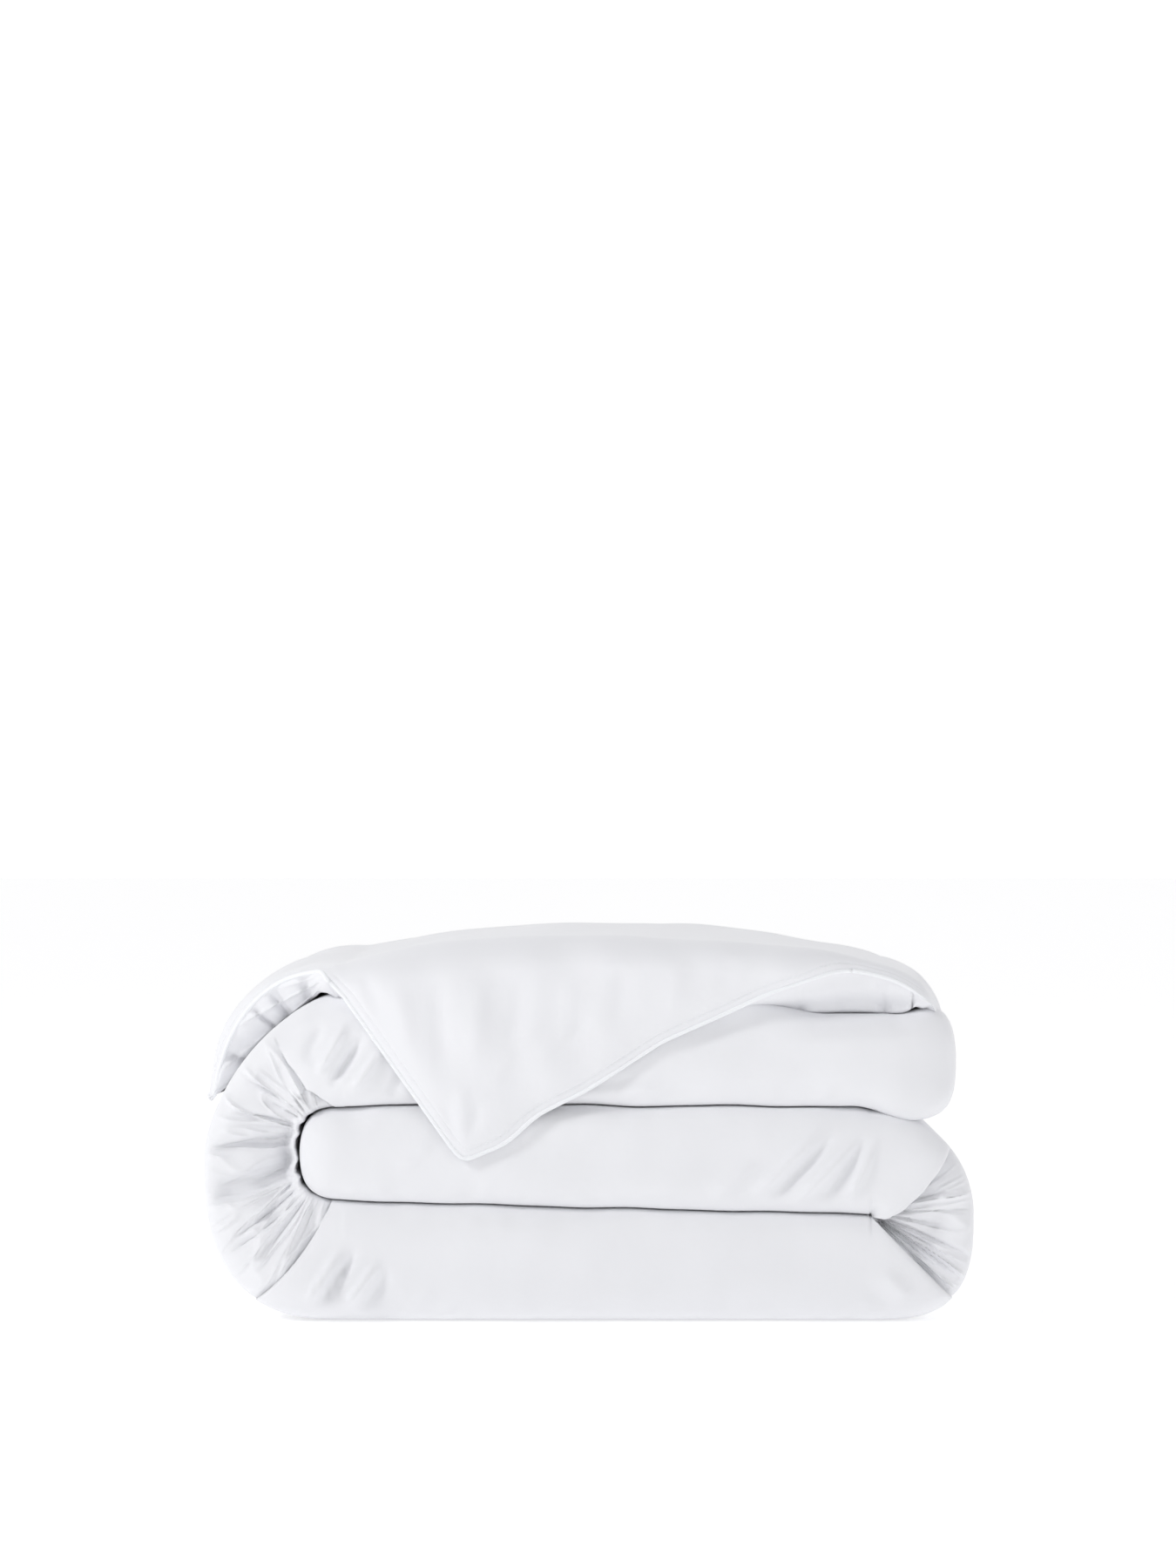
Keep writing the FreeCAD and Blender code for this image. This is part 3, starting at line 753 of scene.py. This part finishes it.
def cord(name, points, radius, sides=10, taper=0.0):
    """A round cord along a path, with closed ends; taper thins its start over that length."""
    points = np.asarray(points, float)
    across, up = frames_along(points)
    turn = np.linspace(0, 2 * math.pi, sides, endpoint=False)
    ring = (np.cos(turn)[None, :, None] * across[:, None, :]
            + np.sin(turn)[None, :, None] * up[:, None, :]) * radius
    if taper:
        ring = ring * np.clip(run_length(points) / taper + 0.1, 0, 1)[:, None, None]
    grid = points[:, None, :] + ring
    caps = [np.repeat(points[i][None, None, :], sides, 1) for i in (0, -1)]
    return tidy(grid_mesh(name, np.concatenate([caps[0], grid, caps[1]])))


def resample(points, spacing):
    """Points at even distances along a path."""
    length = run_length(points)
    even = np.arange(0, length[-1], spacing)
    return np.stack([np.interp(even, length, points[:, i]) for i in range(3)], -1)


def stitches(name, points, normals, length=0.0026, gap=0.0011, radius=0.00032):
    """A run of short stitches lying along a path."""
    total = run_length(points)
    starts = np.arange(0.001, total[-1] - length, length + gap)
    verts, faces = [], []
    turn = np.linspace(0, 2 * math.pi, 6, endpoint=False)
    for start in starts:
        at = start + length * np.array([0, 0.12, 0.5, 0.88, 1])
        line = np.stack([np.interp(at, total, points[:, i]) for i in range(3)], -1)
        out = np.array([np.interp(start, total, normals[:, i]) for i in range(3)])
        along = line[-1] - line[0]
        along /= np.linalg.norm(along)
        side = np.cross(along, out)
        base = len(verts)
        for centre, size in zip(line, (0.15, 0.8, 1, 0.8, 0.15)):
            for c, s in zip(np.cos(turn), np.sin(turn)):
                verts.append(centre + out * 0.0001 + (side * c + out * s) * radius * size)
        for ring in range(4):
            for k in range(6):
                a, b = base + ring * 6 + k, base + ring * 6 + (k + 1) % 6
                faces.append((a, b, b + 6, a + 6))
        faces.append(tuple(base + k for k in range(5, -1, -1)))
        faces.append(tuple(base + 24 + k for k in range(6)))
    mesh = bpy.data.meshes.new(name)
    mesh.from_pydata([tuple(v) for v in verts], [], faces)
    return tidy(linked(name, mesh))


# ---------------------------------------------------------------- materials
def new_material(name):
    material = bpy.data.materials.new(name)
    material.use_nodes = True
    tree = material.node_tree
    return material, tree.nodes, tree.links, tree.nodes["Principled BSDF"]


def percale(name, color, thread=0.00028, strength=0.12, sheen=0.25):
    """Plain-weave cotton: crossed threads as bump, faint slubs, soft sheen."""
    material, nodes, links, shader = new_material(name)
    shader.inputs["Base Color"].default_value = (*color, 1)
    shader.inputs["Roughness"].default_value = 0.78
    shader.inputs["Specular IOR Level"].default_value = 0.25
    shader.inputs["Sheen Weight"].default_value = sheen
    shader.inputs["Sheen Roughness"].default_value = 0.3
    place = nodes.new("ShaderNodeTexCoord")
    heights = []
    for axis in ("X", "Z"):
        wave = nodes.new("ShaderNodeTexWave")
        wave.wave_type, wave.bands_direction, wave.wave_profile = "BANDS", axis, "SIN"
        wave.inputs["Scale"].default_value = 0.314 / thread
        wave.inputs["Distortion"].default_value = 1.2
        wave.inputs["Detail"].default_value = 1.0
        wave.inputs["Detail Scale"].default_value = 0.4
        links.new(place.outputs["Object"], wave.inputs["Vector"])
        heights.append(wave.outputs["Fac"])
    weave = nodes.new("ShaderNodeMath")
    weave.operation = "MULTIPLY"
    links.new(heights[0], weave.inputs[0])
    links.new(heights[1], weave.inputs[1])
    slub = nodes.new("ShaderNodeTexNoise")
    slub.inputs["Scale"].default_value = 420
    slub.inputs["Detail"].default_value = 3
    links.new(place.outputs["Object"], slub.inputs["Vector"])
    both = nodes.new("ShaderNodeMath")
    both.operation = "ADD"
    links.new(weave.outputs[0], both.inputs[0])
    links.new(slub.outputs["Fac"], both.inputs[1])
    bump = nodes.new("ShaderNodeBump")
    bump.inputs["Strength"].default_value = strength
    bump.inputs["Distance"].default_value = 0.0003
    links.new(both.outputs[0], bump.inputs["Height"])
    crumple = nodes.new("ShaderNodeTexNoise")
    crumple.inputs["Scale"].default_value = 34
    crumple.inputs["Detail"].default_value = 4
    crumple.inputs["Roughness"].default_value = 0.55
    links.new(place.outputs["Object"], crumple.inputs["Vector"])
    soft = nodes.new("ShaderNodeBump")
    soft.inputs["Strength"].default_value = 0.25
    soft.inputs["Distance"].default_value = 0.003
    links.new(crumple.outputs["Fac"], soft.inputs["Height"])
    links.new(soft.outputs["Normal"], bump.inputs["Normal"])
    links.new(bump.outputs["Normal"], shader.inputs["Normal"])
    return material


def plain(name, color, roughness, grain, strength, sheen=0.0):
    """A smooth material with a fine grain as bump."""
    material, nodes, links, shader = new_material(name)
    shader.inputs["Base Color"].default_value = (*color, 1)
    shader.inputs["Roughness"].default_value = roughness
    shader.inputs["Sheen Weight"].default_value = sheen
    place = nodes.new("ShaderNodeTexCoord")
    noise = nodes.new("ShaderNodeTexNoise")
    noise.inputs["Scale"].default_value = grain
    noise.inputs["Detail"].default_value = 2
    links.new(place.outputs["Object"], noise.inputs["Vector"])
    bump = nodes.new("ShaderNodeBump")
    bump.inputs["Strength"].default_value = strength
    bump.inputs["Distance"].default_value = 0.0004
    links.new(noise.outputs["Fac"], bump.inputs["Height"])
    links.new(bump.outputs["Normal"], shader.inputs["Normal"])
    return material


COVER = percale("cover_percale", (0.862, 0.866, 0.888))
INSERT = percale("insert_cambric", (0.86, 0.86, 0.84), thread=0.0003, sheen=0.1)
PIPING = percale("piping_cotton", (0.92, 0.93, 0.95), thread=0.0004, strength=0.2)
THREAD = plain("stitch_thread", (0.90, 0.91, 0.93), 0.6, 2500, 0.4, sheen=0.3)
BUTTON = plain("button_plastic", (0.90, 0.90, 0.88), 0.28, 60, 0.05)
LABEL = plain("label_satin", (0.93, 0.93, 0.93), 0.45, 1800, 0.25, sheen=0.4)


def keep_normals(obj, points, ring):
    """Gives the open end's points, at one ring of the grid, the whole surface's normals."""
    ahead = np.roll(points, -1, 1) - np.roll(points, 1, 1)
    out = np.cross(ahead, np.gradient(points, axis=0))[ring]
    out /= np.linalg.norm(out, axis=-1, keepdims=True) + 1e-12
    mesh = obj.data
    places = np.array([vertex.co[:] for vertex in mesh.vertices])
    near = np.flatnonzero(np.abs(places[:, 0] - points[ring, :, 0].mean()) < 0.02)
    gap = np.linalg.norm(places[near][:, None] - points[ring][None], axis=-1)
    match = {int(near[i]): int(gap[i].argmin()) for i in range(len(near)) if gap[i].min() < 1e-5}
    normals = [Vector((0, 0, 0))] * len(mesh.loops)
    for polygon in mesh.polygons:
        if len(polygon.vertices) > 4:
            continue
        for corner in polygon.loop_indices:
            vertex = mesh.loops[corner].vertex_index
            if vertex in match:
                normal = Vector(out[match[vertex]])
                if normal.dot(polygon.normal) < 0:
                    normal.negate()
                normals[corner] = normal
    mesh.normals_split_custom_set(normals)


def dress(obj, material):
    obj.data.materials.clear()
    obj.data.materials.append(material)


# ---------------------------------------------------------------- build
FLAP_HINGE = (0, -0.268, 0.280), (0, -0.288, 0.268)
TOP_HINGE = (0.285, 0, 0.27), (0.210, 0, 0.27)


def add_roll():
    roll = tidy(grid_mesh("roll_cover", make_roll()))
    settle(roll, COVER, "cover_fabric", "cover_bottom_layer", "cover_right_turn",
           "cover_middle_layer", "cover_left_turn", "cover_upper_layer", "cover_end_turn",
           body="folded_stack")


def settle(obj, material, slot, *nodes, body=None, blend=None):
    """Gives a piece its material and its body (or bakes its transform), and hides the nodes it
    replaces; slot and blend are not used.
    """
    dress(obj, material)
    if body:
        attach(obj, body)
    else:
        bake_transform(obj)
    if nodes:
        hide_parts(*nodes)


TO_FLAP = ("top_layer", "corner_flap", *FLAP_HINGE)
TO_TOP = ("folded_stack", "top_layer", *TOP_HINGE)


def add_top():
    """The top layer with its turned-down corner, and the end fold that joins it to the roll."""
    points, outer, away = top_layer_points()
    cut = int(np.argmin(np.abs(outer[:60, -1, 0] - SPLIT_X)))
    top = tidy(grid_mesh("top_cover", points[cut:]))
    settle(top, COVER, "cover_fabric", "cover_top_layer", "cover_corner_flap", blend=TO_FLAP)
    keep_normals(top, points, cut)
    fold = tidy(grid_mesh("end_fold_cover", points[:cut + 1]))
    settle(fold, COVER, "cover_fabric", blend=TO_TOP)
    keep_normals(fold, points, cut)
    return outer, away, cut


def add_inserts(cut):
    roll = tidy(grid_mesh("insert_roll", make_insert_roll()))
    settle(roll, INSERT, "insert_fabric", "insert_bottom_layer", "insert_right_turn",
           "insert_middle_layer", "insert_left_turn", "insert_upper_layer", "insert_end_turn",
           body="folded_stack")
    points = top_layer_points(inset=0.004, trim=0.022)[0]
    top = tidy(grid_mesh("insert_top", points[cut + 1:-8]))
    settle(top, INSERT, "insert_fabric", "insert_top_layer", "insert_corner_flap", blend=TO_FLAP)


def add_piping(outer, cut):
    rim, back = outer[:, -1], outer[:, 0]
    corner = int(np.argmin(np.abs(rim[:, 0] - CORNER_LEFT_X)))
    size = PIPING_RADIUS
    settle(cord("piping_rim_end", rim[14:cut + 1], size, taper=0.02), PIPING, "piping",
           blend=TO_TOP)
    settle(cord("piping_rim", rim[cut:corner + 1], size), PIPING, "piping",
           "piping_corner", "piping_top_front", blend=TO_FLAP)
    settle(cord("piping_oblique", rim[corner:], size), PIPING, "piping",
           "piping_overhang_front", body="top_layer")
    hem = resample(outer[-1, ::-1], 0.004)
    settle(cord("piping_hem", hem, size), PIPING, "piping", "piping_overhang_low",
           body="top_layer")
    settle(cord("piping_back", back[cut:] + [0, 0.0005, 0], size), PIPING, "piping",
           "piping_top_back", body="top_layer")
    settle(cord("piping_back_end", back[:cut + 1] + [0, 0.0005, 0], size), PIPING, "piping",
           blend=TO_TOP)


def add_back_seams(roll_points):
    """The two piped side seams along the middle of the roll's back."""
    start_row = len(T_ROWS) + 28
    for name, row in (("inner", 24), ("outer", 26)):
        line = roll_points[4:-4, start_row + len(T_ROWS) - 1 - row]
        line = smooth_path(resample(smooth_path(line, 6), 0.004), 4) + [0, 0.0008, 0]
        settle(cord("piping_seam_" + name, line, PIPING_RADIUS), PIPING, "piping",
               "piping_back_seam_" + name, body="folded_stack")


def add_topstitch(outer, away, cut):
    """One line of stitches beside the piping, along the corner and the overhang."""
    along, down = np.gradient(outer, axis=0), np.gradient(outer, axis=1)
    out = np.cross(along, down)
    out /= np.linalg.norm(out, axis=-1, keepdims=True) + 1e-12
    if out[len(out) // 2, 20, 2] < 0:
        out = -out
    line, normals = [], []
    for station in range(len(outer)):
        gaps = away[station, :20:-1]
        row = np.argmax(gaps > STITCH_INSET)
        share = (STITCH_INSET - gaps[row - 1]) / (gaps[row] - gaps[row - 1])
        at = outer.shape[1] - 1 - row + 1 - share
        low = int(at)
        part = at - low
        line.append(outer[station, low] * (1 - part) + outer[station, low + 1] * part)
        normals.append(out[station, low])
    line, normals = np.array(line), np.array(normals)
    corner = int(np.argmin(np.abs(line[:, 0] - CORNER_LEFT_X)))
    settle(stitches("topstitch_flap", line[cut:corner], normals[cut:corner]), THREAD, "thread",
           "topstitch_corner", blend=TO_FLAP)
    settle(stitches("topstitch_oblique", line[corner:-6], normals[corner:-6]), THREAD, "thread",
           body="top_layer")


add_roll()
top_outer, rim_away, split = add_top()
add_inserts(split)
add_piping(top_outer, split)
add_back_seams(make_roll())
add_topstitch(top_outer, rim_away, split)
dress(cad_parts["closure_placket"], COVER)
dress(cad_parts["closure_buttons"], BUTTON)
dress(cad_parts["care_label"], LABEL)


# ---------------------------------------------------------------- camera, floor and light
def make_camera():
    """A level camera 3 m in front of the object, above its middle."""
    data = bpy.data.cameras.new("camera")
    data.sensor_fit = "AUTO"
    data.sensor_width = 36
    distance, tall = 3.0, 1.224
    data.lens = data.sensor_width * distance / tall
    camera = linked("camera", data)
    camera.location = (-0.0007, FRONT - distance, 0.4216)
    camera.rotation_euler = (math.pi / 2, 0, 0)
    bpy.context.scene.camera = camera


def make_stage():
    """A pale floor, faintly lit by itself so that it stays white."""
    mesh = bpy.data.meshes.new("floor")
    size = 14.0
    mesh.from_pydata([(-size, -size, 0), (size, -size, 0), (size, size, 0), (-size, size, 0)],
                     [], [(0, 1, 2, 3)])
    floor = linked("floor", mesh)
    material, _, _, shader = new_material("studio_floor")
    shader.inputs["Base Color"].default_value = (0.93, 0.93, 0.93, 1)
    shader.inputs["Roughness"].default_value = 0.9
    shader.inputs["Emission Color"].default_value = (1, 1, 1, 1)
    shader.inputs["Emission Strength"].default_value = 0.3
    mesh.materials.append(material)


def area_light(name, place, target, size, power):
    data = bpy.data.lights.new(name, "AREA")
    data.shape, data.size, data.energy = "DISK", size, power
    light = linked(name, data)
    light.location = place
    light.rotation_euler = (Vector(target) - Vector(place)).to_track_quat("-Z", "Y").to_euler()


def make_light():
    world = bpy.data.worlds.new("studio")
    bpy.context.scene.world = world
    world.use_nodes = True
    tree = world.node_tree
    background = tree.nodes["Background"]
    background.inputs["Strength"].default_value = 1.15
    place = tree.nodes.new("ShaderNodeTexCoord")
    split = tree.nodes.new("ShaderNodeSeparateXYZ")
    ramp = tree.nodes.new("ShaderNodeValToRGB")
    dim, bright = ramp.color_ramp.elements
    dim.position, dim.color = 0.0, (0.42, 0.42, 0.43, 1)
    bright.position, bright.color = 0.5, (1, 1, 1, 1)
    tree.links.new(place.outputs["Generated"], split.inputs[0])
    tree.links.new(split.outputs["Y"], ramp.inputs[0])
    tree.links.new(ramp.outputs[0], background.inputs["Color"])
    area_light("key", (-2.1, -1.5, 1.9), (0, 0, 0.15), 0.7, 26)
    area_light("fill", (2.4, -2.6, 1.2), (0, 0, 0.15), 2.0, 11)


make_camera()
make_stage()
make_light()
bpy.context.scene.view_settings.view_transform = "Standard"
